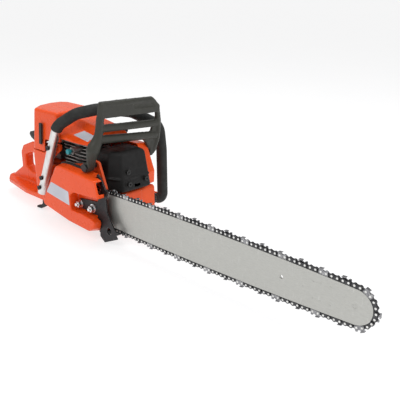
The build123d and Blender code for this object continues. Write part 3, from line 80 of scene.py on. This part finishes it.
class Surface:
    """One procedural material: a Principled shader fed by noise, bump and an edge mask in object space."""

    def __init__(self, name, roughness, metallic=0.0, coat=0.0, sheen=0.0, specular=0.5):
        self.material = bpy.data.materials.new(name)
        self.material.use_nodes = True
        self.tree = self.material.node_tree
        self.shader = self.tree.nodes["Principled BSDF"]
        self.shader.inputs["Roughness"].default_value = roughness
        self.shader.inputs["Metallic"].default_value = metallic
        self.shader.inputs["Coat Weight"].default_value = coat
        self.shader.inputs["Coat Roughness"].default_value = 0.08
        self.shader.inputs["Sheen Weight"].default_value = sheen
        self.shader.inputs["Specular IOR Level"].default_value = specular
        self.place = self.tree.nodes.new("ShaderNodeTexCoord").outputs["Object"]
        self.normal = None

    def node(self, kind, inputs=None, **settings):
        made = self.tree.nodes.new(kind)
        for key, value in settings.items():
            setattr(made, key, value)
        for key, value in (inputs or {}).items():
            if isinstance(value, bpy.types.NodeSocket):
                self.tree.links.new(value, made.inputs[key])
            else:
                made.inputs[key].default_value = value
        return made

    def stretched(self, stretch):
        """The object-space position, scaled by a factor on each axis, for streaks and brushed grain."""
        if stretch == (1, 1, 1):
            return self.place
        return self.node("ShaderNodeMapping", {"Vector": self.place, "Scale": stretch}).outputs["Vector"]

    def noise(self, scale, detail, stretch=(1, 1, 1)):
        values = {"Vector": self.stretched(stretch), "Scale": scale, "Detail": detail, "Roughness": 0.55}
        return self.node("ShaderNodeTexNoise", values).outputs["Fac"]

    def cells(self, scale):
        values = {"Vector": self.place, "Scale": scale}
        return self.node("ShaderNodeTexVoronoi", values).outputs["Distance"]

    def spread(self, value, low, high, to_low=0.0, to_high=1.0):
        """value between low and high, carried over to the range to_low .. to_high."""
        values = {"Value": value, "From Min": low, "From Max": high, "To Min": to_low, "To Max": to_high}
        return self.node("ShaderNodeMapRange", values).outputs["Result"]

    def mix(self, share, first, second):
        values = {0: share, 6: first, 7: second}
        return self.node("ShaderNodeMix", values, data_type="RGBA").outputs[2]

    def edges(self, radius):
        """1 on sharp edges and 0 on faces, from how far a rounded normal turns away from the true one."""
        rounded = self.node("ShaderNodeBevel", {"Radius": radius}, samples=4).outputs["Normal"]
        true = self.node("ShaderNodeNewGeometry").outputs["Normal"]
        values = {0: rounded, 1: true}
        agreement = self.node("ShaderNodeVectorMath", values, operation="DOT_PRODUCT").outputs["Value"]
        return self.spread(agreement, 0.995, 0.86)

    def hollows(self, distance):
        """1 in the open and 0 deep in a corner, where shade falls: the mask for painted shade in corners."""
        return self.node("ShaderNodeAmbientOcclusion", {"Distance": distance}, samples=4).outputs["AO"]

    def bump(self, height, distance, strength=1.0):
        values = {"Height": height, "Distance": distance, "Strength": strength}
        if self.normal is not None:
            values["Normal"] = self.normal
        self.normal = self.node("ShaderNodeBump", values).outputs["Normal"]

    def round_edges(self, radius):
        self.normal = self.node("ShaderNodeBevel", {"Radius": radius}, samples=4).outputs["Normal"]

    def finish(self, colour=None, roughness=None):
        if colour is not None:
            self.tree.links.new(colour, self.shader.inputs["Base Color"])
        if roughness is not None:
            self.tree.links.new(roughness, self.shader.inputs["Roughness"])
        if self.normal is not None:
            self.tree.links.new(self.normal, self.shader.inputs["Normal"])
        return self.material


def rgb(red, green, blue):
    return (red, green, blue, 1.0)


def shell_plastic(name, colour, shade, edge_colour):
    """Glossy shell: slightly mottled pigment, faint orange peel, paler worn edges and painted shade darkening its
    corners.
    """
    made = Surface(name, 0.3, coat=0.1, specular=0.28)
    pigment = made.mix(made.spread(made.noise(9, 3), 0.3, 0.7), colour, shade)
    worn = made.mix(made.spread(made.edges(0.0012), 0.6, 1.0, 0.0, 0.25), pigment, edge_colour)
    # painted shade: a dark orange laid into corners and recesses by the occlusion mask
    painted_corner_shade = made.mix(made.spread(made.hollows(0.012), 0.05, 0.55, 0.4, 0.0), worn, rgb(0.26, 0.03, 0.008))
    made.round_edges(0.0009)
    made.bump(made.noise(420, 2), 0.00022, 0.25)
    made.bump(made.noise(35, 2), 0.0002, 0.05)
    return made.finish(painted_corner_shade, made.spread(made.noise(60, 5), 0.3, 0.75, 0.22, 0.38))


def cast_metal(name, colour, shade, roughness, metallic=0.0):
    """Painted or bare casting: sandy skin, painted shade in the corners and paler edges."""
    made = Surface(name, roughness, metallic=metallic, specular=0.35)
    skin = made.mix(made.spread(made.noise(30, 5), 0.35, 0.7), colour, shade)
    worn = made.mix(made.spread(made.edges(0.0008), 0.3, 1.0, 0.0, 0.4), skin, rgb(0.55, 0.53, 0.5))
    # painted shade: a near-black brown laid into corners and recesses by the occlusion mask
    painted_hollow_shade = made.mix(made.spread(made.hollows(0.012), 0.1, 0.8, 0.7, 0.0), worn, rgb(0.03, 0.022, 0.018))
    made.round_edges(0.0006)
    made.bump(made.noise(900, 3), 0.0003, 0.45)
    return made.finish(painted_hollow_shade, made.spread(made.noise(80, 4), 0.3, 0.7, roughness - 0.08, roughness + 0.12))


def matte_plastic(name, colour, shade, roughness):
    """Fine-grained moulded plastic, as on guards and knobs, rubbed smoother and paler on its edges."""
    made = Surface(name, roughness, specular=0.32)
    pigment = made.mix(made.spread(made.noise(22, 4), 0.35, 0.7), colour, shade)
    rubbed = made.mix(made.spread(made.edges(0.0012), 0.25, 1.0, 0.0, 0.3), pigment, rgb(0.2, 0.2, 0.19))
    made.round_edges(0.0009)
    made.bump(made.cells(1300), 0.0002, 0.35)
    return made.finish(rubbed, made.spread(made.noise(140, 4), 0.3, 0.7, roughness - 0.08, roughness + 0.1))


def rubber(name, colour, shade):
    """Soft rubber: dull, with a fine pebbled skin and paler patches."""
    made = Surface(name, 0.68, specular=0.3)
    skin = made.mix(made.spread(made.noise(40, 5), 0.4, 0.75), colour, shade)
    made.bump(made.cells(900), 0.0003, 0.5)
    return made.finish(skin, made.spread(made.noise(120, 3), 0.3, 0.7, 0.55, 0.8))


def brushed_metal(name, colour, shade, roughness, stretch):
    """Ground or drawn metal: fine streaks along the axis with the smallest stretch, and cloudy tarnish."""
    made = Surface(name, roughness, metallic=1.0)
    streaks = made.noise(260, 5, stretch)
    clouds = made.noise(12, 4)
    base = made.mix(made.spread(streaks, 0.3, 0.72), colour, shade)
    tarnish = made.mix(made.spread(clouds, 0.45, 0.8, 0.0, 0.35), base, shade)
    made.round_edges(0.0004)
    made.bump(streaks, 0.00012, 0.3)
    return made.finish(tarnish, made.spread(streaks, 0.25, 0.75, roughness - 0.06, roughness + 0.14))


def bar_face(name):
    """Satin ground guide bar: nearly even warm grey with fine grinding marks and light scuffs."""
    made = Surface(name, 0.36, metallic=0.75)
    grinding = made.noise(160, 6, (1.0, 1.0, 14.0))
    scuffs = made.spread(made.noise(55, 6, (6.0, 1.0, 1.0)), 0.62, 0.72)
    base = made.mix(made.spread(grinding, 0.3, 0.7), rgb(0.52, 0.52, 0.49), rgb(0.45, 0.45, 0.425))
    scuffed = made.mix(made.spread(scuffs, 0, 1, 0, 0.35), base, rgb(0.66, 0.66, 0.64))
    made.round_edges(0.0005)
    made.bump(grinding, 0.0001, 0.25)
    return made.finish(scuffed, made.spread(grinding, 0.25, 0.75, 0.34, 0.5))


def label_film(name):
    """Blank printed film: pale satin grey with faint handling marks."""
    made = Surface(name, 0.32, coat=0.2)
    film = made.mix(made.spread(made.noise(18, 4), 0.35, 0.7), rgb(0.56, 0.57, 0.63), rgb(0.48, 0.49, 0.55))
    smudged = made.mix(made.spread(made.noise(70, 6), 0.62, 0.8, 0.0, 0.3), film, rgb(0.36, 0.34, 0.36))
    made.bump(made.noise(240, 3), 0.0002, 0.15)
    return made.finish(smudged, made.spread(made.noise(50, 3), 0.3, 0.7, 0.25, 0.45))


def felt(name, colour, shade):
    """Pleated filter felt or braided cord: fibrous and dull."""
    made = Surface(name, 0.9, sheen=0.4)
    fibres = made.noise(700, 6)
    made.bump(fibres, 0.0006, 0.6)
    return made.finish(made.mix(made.spread(fibres, 0.35, 0.65), colour, shade))


def make_materials():
    """One finished material for each slot of the record."""
    olive, olive_shade = rgb(0.040, 0.040, 0.032), rgb(0.030, 0.030, 0.025)
    return {
        "orange_plastic": shell_plastic(
            "orange_plastic", rgb(0.86, 0.084, 0.008), rgb(0.80, 0.072, 0.006), rgb(0.90, 0.14, 0.03)
        ),
        "orange_casting": cast_metal("orange_casting", rgb(0.84, 0.088, 0.008), rgb(0.74, 0.07, 0.006), 0.42),
        "guard_plastic": matte_plastic("guard_plastic", olive, olive_shade, 0.46),
        "grip_rubber": rubber("grip_rubber", rgb(0.020, 0.021, 0.020), rgb(0.032, 0.033, 0.031)),
        "bare_tube": brushed_metal(
            "bare_tube", rgb(0.80, 0.80, 0.79), rgb(0.64, 0.64, 0.63), 0.34, (1.0, 1.0, 0.08)
        ),
        "black_plastic": matte_plastic(
            "black_plastic", rgb(0.010, 0.010, 0.011), rgb(0.018, 0.018, 0.018), 0.42
        ),
        "teal_plastic": matte_plastic("teal_plastic", rgb(0.02, 0.30, 0.34), rgb(0.02, 0.22, 0.26), 0.4),
        "label_film": label_film("label_film"),
        "muffler_steel": cast_metal(
            "muffler_steel", rgb(0.003, 0.003, 0.003), rgb(0.006, 0.005, 0.005), 0.55, 0.1
        ),
        "spike_steel": cast_metal(
            "spike_steel", rgb(0.022, 0.022, 0.024), rgb(0.036, 0.036, 0.038), 0.42, 0.5
        ),
        "bar_steel": bar_face("bar_steel"),
        "chain_steel": brushed_metal(
            "chain_steel", rgb(0.10, 0.10, 0.105), rgb(0.05, 0.05, 0.052), 0.34, (1, 1, 1)
        ),
        "cutter_steel": brushed_metal(
            "cutter_steel", rgb(0.42, 0.42, 0.43), rgb(0.16, 0.16, 0.17), 0.25, (1, 1, 1)
        ),
        "rivet_steel": brushed_metal(
            "rivet_steel", rgb(0.85, 0.85, 0.82), rgb(0.6, 0.6, 0.58), 0.3, (1, 1, 1)
        ),
        "bright_steel": brushed_metal(
            "bright_steel", rgb(0.82, 0.82, 0.82), rgb(0.62, 0.62, 0.63), 0.2, (1, 1, 1)
        ),
        "machined_steel": brushed_metal(
            "machined_steel", rgb(0.5, 0.5, 0.5), rgb(0.34, 0.34, 0.34), 0.3, (1.0, 12.0, 1.0)
        ),
        "black_screws": matte_plastic(
            "black_screws", rgb(0.008, 0.008, 0.008), rgb(0.016, 0.016, 0.017), 0.34
        ),
        "cast_aluminium": cast_metal(
            "cast_aluminium", rgb(0.42, 0.42, 0.41), rgb(0.3, 0.3, 0.29), 0.45, 0.85
        ),
        "filter_felt": felt("filter_felt", rgb(0.72, 0.68, 0.58), rgb(0.5, 0.46, 0.38)),
        "plug_ceramic": shell_plastic(
            "plug_ceramic", rgb(0.85, 0.85, 0.82), rgb(0.7, 0.7, 0.68), rgb(0.9, 0.9, 0.9)
        ),
        "coil_plastic": matte_plastic("coil_plastic", rgb(0.03, 0.03, 0.034), rgb(0.045, 0.045, 0.05), 0.5),
        "rope_cord": felt("rope_cord", rgb(0.62, 0.62, 0.60), rgb(0.35, 0.35, 0.36)),
    }


def dress(piece, material):
    """Gives a piece one material and no other."""
    piece.data.materials.clear()
    piece.data.materials.append(material)


def dress_cad_nodes():
    """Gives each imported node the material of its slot."""
    for subpart in record["subparts"]:
        dress(nodes[subpart["node"]], materials[subpart["material_slot"]])


# ---------------------------------------------------------------------------
# Mesh tools
# ---------------------------------------------------------------------------

MM = 0.001
UP = Vector((0, 0, 1))


def link(name, data):
    """A new object in the scene, holding a mesh, a light or a camera."""
    made = bpy.data.objects.new(name, data)
    bpy.context.scene.collection.objects.link(made)
    return made


def apply_modifiers(piece):
    """Replaces a piece's mesh by what its modifiers make of it."""
    seen = piece.evaluated_get(bpy.context.evaluated_depsgraph_get())
    shaped = bpy.data.meshes.new_from_object(seen)
    piece.modifiers.clear()
    piece.data = shaped


PATH_STEPS = 8  # stretches of a smooth path between two of its given points


def smooth_path(points):
    """Points of a Catmull-Rom curve through the given points, with the share of the way at each."""
    ends = [points[0] * 2 - points[1], *points, points[-1] * 2 - points[-2]]
    path = []
    spans = len(points) - 1
    for i in range(spans):
        a, b, c, d = ends[i : i + 4]
        for k in range(PATH_STEPS + (i == spans - 1)):
            t = k / PATH_STEPS
            bend = 2 * b + t * (c - a) + t * t * (2 * a - 5 * b + 4 * c - d) + t**3 * (3 * b - a - 3 * c + d)
            path.append((0.5 * bend, (i + t) / spans))
    return path


def ring(centre, along, side, reach, sides):
    """A ring of points round centre; reach gives the radius at an angle."""
    other = along.cross(side).normalized()
    side = other.cross(along).normalized()
    angles = [2 * math.pi * k / sides for k in range(sides)]
    return [centre + reach(a) * (math.cos(a) * side + math.sin(a) * other) for a in angles]


def skin_rings(name, rings):
    """One closed mesh over a row of rings, its two ends capped."""
    made = bmesh.new()
    rows = [[made.verts.new(p) for p in points] for points in rings]
    count = len(rings[0])
    for row, following in zip(rows, rows[1:]):
        for k in range(count):
            made.faces.new((row[k], row[(k + 1) % count], following[(k + 1) % count], following[k]))
    made.faces.new(rows[0][::-1])
    made.faces.new(rows[-1])
    bmesh.ops.recalc_face_normals(made, faces=made.faces)
    mesh = bpy.data.meshes.new(name)
    made.to_mesh(mesh)
    made.free()
    return mesh


def rod(name, points, radii, side, flat=1.0, sides=20):
    """A rod along a smooth path, radii spread evenly over it; flat is its depth along side over its width."""
    path = smooth_path(points)
    rings = []
    for i, (centre, share) in enumerate(path):
        ahead, behind = path[min(i + 1, len(path) - 1)][0], path[max(i - 1, 0)][0]
        along = (ahead - behind).normalized()
        spot = share * (len(radii) - 1)
        low = min(int(spot), len(radii) - 2)
        radius = radii[low] + (radii[low + 1] - radii[low]) * (spot - low)

        def reach(angle):
            return radius * math.hypot(flat * math.cos(angle), math.sin(angle))

        rings.append(ring(centre, along, side, reach, sides))
    return skin_rings(name, rings)


def fused(name, meshes, voxel, smoothing, keep=1.0):
    """Closed meshes made into one skin whose edges are softly rounded, as a mould leaves them."""
    gathered = bmesh.new()
    for mesh in meshes:
        gathered.from_mesh(mesh)
    bmesh.ops.remove_doubles(gathered, verts=gathered.verts, dist=1e-6)
    data = bpy.data.meshes.new(name)
    gathered.to_mesh(data)
    gathered.free()
    piece = link(name, data)
    skin = piece.modifiers.new("skin", "REMESH")
    skin.mode = "VOXEL"
    skin.voxel_size = voxel
    rounding = piece.modifiers.new("rounding", "SMOOTH")
    rounding.factor = 0.5
    rounding.iterations = smoothing
    if keep < 1.0:
        piece.modifiers.new("lighten", "DECIMATE").ratio = keep
    apply_modifiers(piece)
    piece.data.shade_smooth()
    return piece


def stands_for(piece, node, body):
    """The piece takes the place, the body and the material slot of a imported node."""
    slot = next(s["material_slot"] for s in record["subparts"] if s["node"] == node)
    dress(piece, materials[slot])
    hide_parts(node)
    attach(piece, body)


# ---------------------------------------------------------------------------
# Moulded and pressed pieces
# ---------------------------------------------------------------------------

GUARD_LEAN = Vector((20, 0, 97)).normalized()  # up, in the guard's leaning plane
GUARD_FRONT = Vector((97, 0, -20)).normalized()  # square to that plane
GUARD_STEP = Vector((18 * MM, 0, 45 * MM))  # from the hinge axis up to the foot of its frame


def hand_guard():
    """The guard: the frame, with a rounded bead round its rim, bulging cross bars and a thick elbow."""
    hinge = next(j for j in frame["joints"] if j["name"] == "hand_guard_brake")["pos_m"]
    foot = Vector((hinge[0], 0, hinge[2])) + GUARD_STEP

    def spot(across, up, ahead):
        return foot + MM * (Vector((0, across, 0)) + up * GUARD_LEAN + ahead * GUARD_FRONT)

    def bead(name, points, radii, flat=1.0):
        return rod(name, [spot(*p) for p in points], [r * MM for r in radii], GUARD_FRONT, flat)

    meshes = [
        nodes["hand_guard"].data,
        bead(
            "crown_rim", [(-60, 91, 3), (-10, 88, 4), (40, 86, 4), (76, 82, 3), (97, 64, 1)],
            [5, 5.5, 5.5, 5.5, 5],
        ),
        bead(
            "upper_bar", [(-54, 38, 1), (-10, 34, 2.5), (40, 29, 2.5), (104, 23, 1)],
            [7.5, 7.5, 7.5, 7.5], 0.75,
        ),
        bead(
            "lower_bar", [(-54, 14, 1), (-10, 9, 2.5), (40, 3, 2.5), (104, -5, 1)],
            [8.5, 8.5, 8.5, 9], 0.75,
        ),
        bead(
            "elbow", [(-58, 88, 1), (-58, 40, 1), (-64, 12, 2), (-71, -6, 1), (-71, -40, -2)],
            [6, 6, 11, 14, 7.5],
        ),
        bead("web", [(66, -4, 0), (82, -14, -1), (94, -30, -3), (100, -44, -4)], [5, 9, 10, 8], 0.5),
        bead("left_arm", [(96, 64, 1), (106, 26, 1), (110, -12, 1), (104, -44, -2)], [5.5, 6, 6.5, 7]),
    ]
    piece = fused("hand_guard_moulding", meshes, 1.4 * MM, 6, 0.6)
    stands_for(piece, "hand_guard", "guard")


MUFFLER_SEATS = ((-9, 142, 7.5), (-9, 116, 3.2), (36, 119, 3.2))  # y and z, and how far behind the front


def muffler():
    """The muffler's two pressings, with the rolled seam between them, raised bolt seats and ridges on top."""
    low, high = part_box("muffler")
    seam = low.z + 0.33 * (high.z - low.z)
    inset = 3.4 * MM
    left, right, front = high.y - inset, low.y + inset, high.x - inset
    corners = [
        Vector((low.x + 6 * MM, right, seam)), Vector((front - 36 * MM, right, seam)),
        Vector((front - 7 * MM, right + 20 * MM, seam)), Vector((front - 1.5 * MM, left - 14 * MM, seam)),
        Vector((front - 10 * MM, left - 1 * MM, seam)), Vector((low.x + 6 * MM, left, seam)),
    ]
    meshes = [nodes["muffler"].data, rod("seam", corners, [2.4 * MM, 2.4 * MM], UP, sides=12)]
    for across, up, behind in MUFFLER_SEATS:
        back = Vector((front - 16 * MM, across * MM, up * MM))
        face = Vector((high.x - behind * MM, across * MM, up * MM))
        meshes.append(rod("seat", [back, face], [11 * MM, 8 * MM], UP, sides=24))
    for share in (0.3, 0.55, 0.8):
        y = right + share * (left - right)
        behind = Vector((low.x + 14 * MM, y, high.z - 2 * MM))
        ridge = [behind, Vector((front - 24 * MM, y, high.z - 2.4 * MM))]
        meshes.append(rod("ridge", ridge, [3.2 * MM, 3.2 * MM], UP, sides=12))
    piece = fused("muffler_pressings", meshes, 1.3 * MM, 3, 0.6)
    stands_for(piece, "muffler", "saw")


SHELL_VOXELS = {"filter_cover": 1.6, "clutch_cover": 1.5, "cylinder_cover": 1.5, "tank_handle": 2.0}


def shells():
    """The moulded shells, with the softly rounded edges that a mould gives them."""
    for node, voxel in SHELL_VOXELS.items():
        piece = fused(f"{node}_moulding", [nodes[node].data], voxel * MM, 4)
        stands_for(piece, node, "saw")


def intake_boot():
    """The ribbed rubber boot between the carburettor and the cylinder."""
    low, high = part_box("intake_boot")
    middle = (low + high) / 2
    radius = min(high.y - low.y, high.z - low.z) / 2
    ribs, steps = 5, 60
    rings = []
    for i in range(steps + 1):
        share = i / steps
        wave = 0.5 + 0.5 * math.cos(2 * math.pi * ribs * share)
        reach = radius * (0.86 + 0.16 * wave)
        centre = Vector((low.x + share * (high.x - low.x), middle.y, middle.z))
        rings.append(ring(centre, Vector((1, 0, 0)), UP, lambda _: reach, 40))
    piece = link("intake_bellows", skin_rings("intake_bellows", rings))
    piece.data.shade_smooth()
    stands_for(piece, "intake_boot", "saw")


def cover_seal():
    """The rubber strip, shown half sunk in the clutch cover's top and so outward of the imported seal."""
    low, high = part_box("cover_seal")
    cover = nodes["clutch_cover"].data
    surface = BVHTree.FromPolygons([v.co for v in cover.vertices], [p.vertices for p in cover.polygons])
    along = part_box("clutch_cover")[1].y - 6 * MM
    points = []
    probes = 8
    for k in range(probes + 1):
        above = Vector((low.x + (high.x - 12 * MM - low.x) * k / probes, along, high.z + 100 * MM))
        place = surface.ray_cast(above, -UP)[0]
        if place:
            points.append(place)
    strip = rod("seal_strip", points, [4.6 * MM, 4.6 * MM], UP, 0.4, 16)
    piece = link("seal_strip", strip)
    piece.data.shade_smooth()
    stands_for(piece, "cover_seal", "saw")


def starter_rope():
    """The cord from the eyelet to the grip: three strands laid round each other."""
    low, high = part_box("starter_rope")
    centre = (low + high) / 2
    reach = (high.x - low.x) / 2
    turns, steps = 2.5, 48
    made = bmesh.new()
    for strand in range(3):
        rings = []
        for i in range(steps + 1):
            angle = 2 * math.pi * (turns * i / steps + strand / 3)
            middle = Vector((
                centre.x + 0.5 * reach * math.cos(angle), centre.y + 0.5 * reach * math.sin(angle),
                low.z + (high.z - low.z) * i / steps,
            ))
            rings.append(ring(middle, UP, Vector((1, 0, 0)), lambda _: 0.55 * reach, 12))
        made.from_mesh(skin_rings("strand", rings))
    mesh = bpy.data.meshes.new("starter_cord")
    made.to_mesh(mesh)
    made.free()
    piece = link("starter_cord", mesh)
    piece.data.shade_smooth()
    dress(piece, materials["rope_cord"])
    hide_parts("starter_rope")
    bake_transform(piece)


# ---------------------------------------------------------------------------
# Floor, light and camera
# ---------------------------------------------------------------------------

FLOOR_GLOW = 0.72  # lifts the pale floor to the white of a product backdrop


def stage_floor():
    """A wide pale floor at the resting plane, faintly uneven in tone."""
    mesh = bpy.data.meshes.new("floor")
    half = 30.0
    level = cad_box[0][2] - 0.5 * MM
    corners = [(-half, -half, level), (half, -half, level), (half, half, level), (-half, half, level)]
    mesh.from_pydata(corners, [], [(0, 1, 2, 3)])
    floor = link("floor", mesh)
    made = Surface("floor_paint", 0.75)
    made.shader.inputs["Emission Color"].default_value = rgb(1, 1, 1)
    made.shader.inputs["Emission Strength"].default_value = FLOOR_GLOW
    dress(floor, made.finish(made.mix(made.noise(3, 2), rgb(0.34, 0.34, 0.34), rgb(0.31, 0.31, 0.32))))


def soft_light(name, place, aim, size, power):
    light = bpy.data.lights.new(name, "AREA")
    light.shape = "DISK"
    light.size = size
    light.energy = power
    lamp = link(name, light)
    lamp.location = place
    lamp.rotation_euler = (Vector(aim) - Vector(place)).to_track_quat("-Z", "Y").to_euler()


def studio():
    """A bright surround with three large soft lights."""
    scene = bpy.context.scene
    world = bpy.data.worlds.new("studio")
    world.use_nodes = True
    world.node_tree.nodes["Background"].inputs["Color"].default_value = rgb(1, 1, 1)
    world.node_tree.nodes["Background"].inputs["Strength"].default_value = 0.5
    scene.world = world
    scene.view_settings.view_transform = "Standard"
    aim = (0.1, -0.05, 0.12)
    soft_light("key", (0.5, -1.6, 1.9), aim, 1.2, 17)
    soft_light("top", (-0.1, 0.4, 2.2), aim, 1.4, 20)
    soft_light("side", (1.9, 0.6, 1.1), aim, 1.0, 9)


def camera():
    """The three-quarter view from in front of the bar's tip, on the clutch side."""
    place = Vector((1.03506, -0.76975, 0.51918))
    yaw, pitch, roll = math.radians(48.008), math.radians(20.683), math.radians(0.512)
    forward = Vector((-math.cos(yaw) * math.cos(pitch), math.sin(yaw) * math.cos(pitch), -math.sin(pitch)))
    right = forward.cross(Vector((0, 0, 1))).normalized()
    up = right.cross(forward)
    right, up = math.cos(roll) * right + math.sin(roll) * up, math.cos(roll) * up - math.sin(roll) * right
    data = bpy.data.cameras.new("camera")
    data.sensor_width = 36.0
    data.lens = 52.18
    view = link("camera", data)
    turn = Matrix((right, up, -forward)).transposed().to_4x4()
    view.matrix_world = Matrix.Translation(place) @ turn
    bpy.context.scene.camera = view


materials = make_materials()
dress_cad_nodes()
hand_guard()
muffler()
shells()
intake_boot()
cover_seal()
starter_rope()
stage_floor()
studio()
camera()
